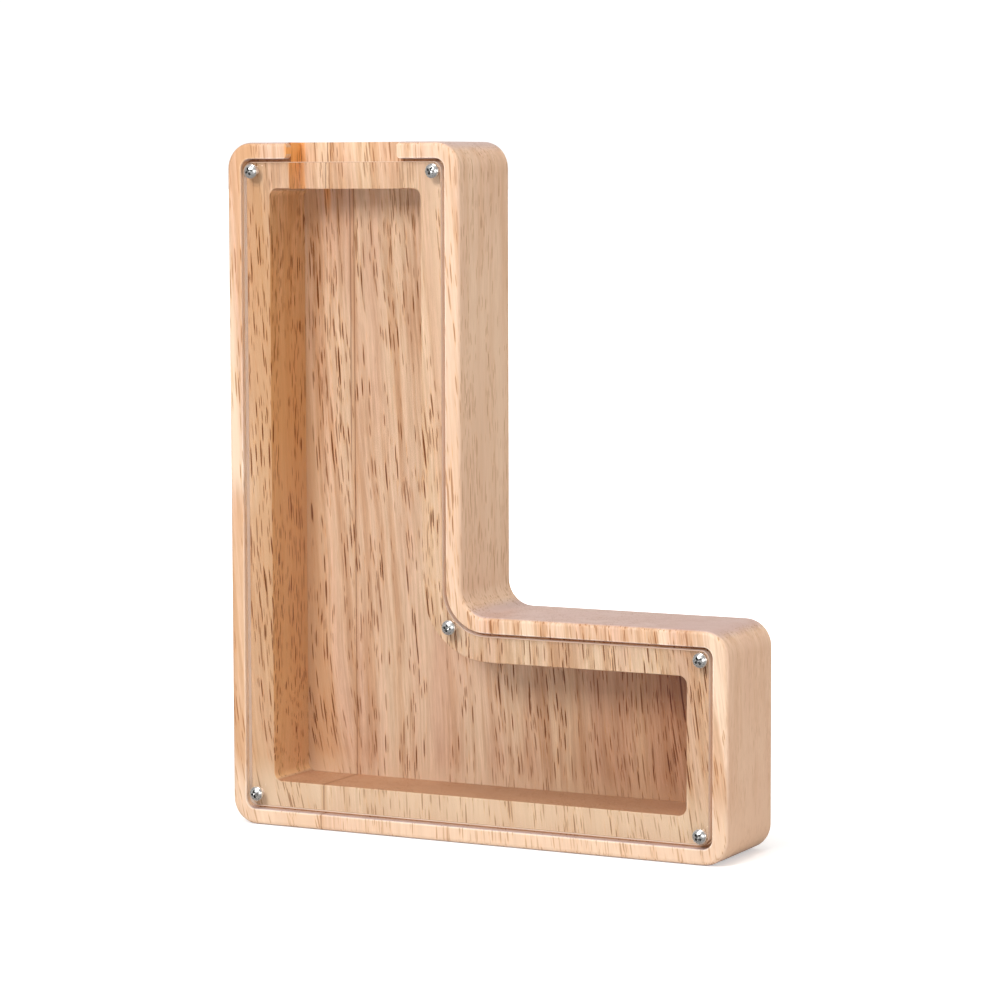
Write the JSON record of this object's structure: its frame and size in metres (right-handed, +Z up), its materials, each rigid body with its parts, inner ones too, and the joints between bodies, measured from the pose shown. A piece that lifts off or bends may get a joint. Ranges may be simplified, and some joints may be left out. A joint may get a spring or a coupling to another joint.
{
  "type": "wooden money box",
  "caption": "L-shaped money box milled from pale wood, with a coin slot in the top face and a clear front panel held on by small screws.",
  "frame": {"origin": "middle of the wooden body's footprint, on the face it stands on", "axes": "+Z up; the clear front faces -Y; the foot of the L points to +X"},
  "size_m": [0.167, 0.0347, 0.21],
  "materials": {
    "wood_left": "satin",
    "wood_right": "satin",
    "clear_sheet": "polished",
    "screw_metal": "satin"
  },
  "bodies": {
    "wooden_body": {"board_left": "wood_left", "board_right": "wood_right"},
    "panel": {"front_panel": "clear_sheet"},
    "screw_arm_left": {"screw_arm_left": "screw_metal"},
    "screw_arm_right": {"screw_arm_right": "screw_metal"},
    "screw_elbow": {"screw_elbow": "screw_metal"},
    "screw_foot_top": {"screw_foot_top": "screw_metal"},
    "screw_foot_low": {"screw_foot_low": "screw_metal"},
    "screw_corner_low": {"screw_corner_low": "screw_metal"}
  },
  "joints": [
    {"name": "panel_off", "type": "slide", "parent": "wooden_body", "child": "panel", "axis": [0, -1, 0], "range_m": [0, 0.05]},
    {"name": "screw_arm_left_out", "type": "slide", "parent": "panel", "child": "screw_arm_left", "axis": [0, -1, 0], "range_m": [0, 0.014]},
    {"name": "screw_arm_right_out", "type": "slide", "parent": "panel", "child": "screw_arm_right", "axis": [0, -1, 0], "range_m": [0, 0.014]},
    {"name": "screw_elbow_out", "type": "slide", "parent": "panel", "child": "screw_elbow", "axis": [0, -1, 0], "range_m": [0, 0.014]},
    {"name": "screw_foot_top_out", "type": "slide", "parent": "panel", "child": "screw_foot_top", "axis": [0, -1, 0], "range_m": [0, 0.014]},
    {"name": "screw_foot_low_out", "type": "slide", "parent": "panel", "child": "screw_foot_low", "axis": [0, -1, 0], "range_m": [0, 0.014]},
    {"name": "screw_corner_low_out", "type": "slide", "parent": "panel", "child": "screw_corner_low", "axis": [0, -1, 0], "range_m": [0, 0.014]}
  ]
}
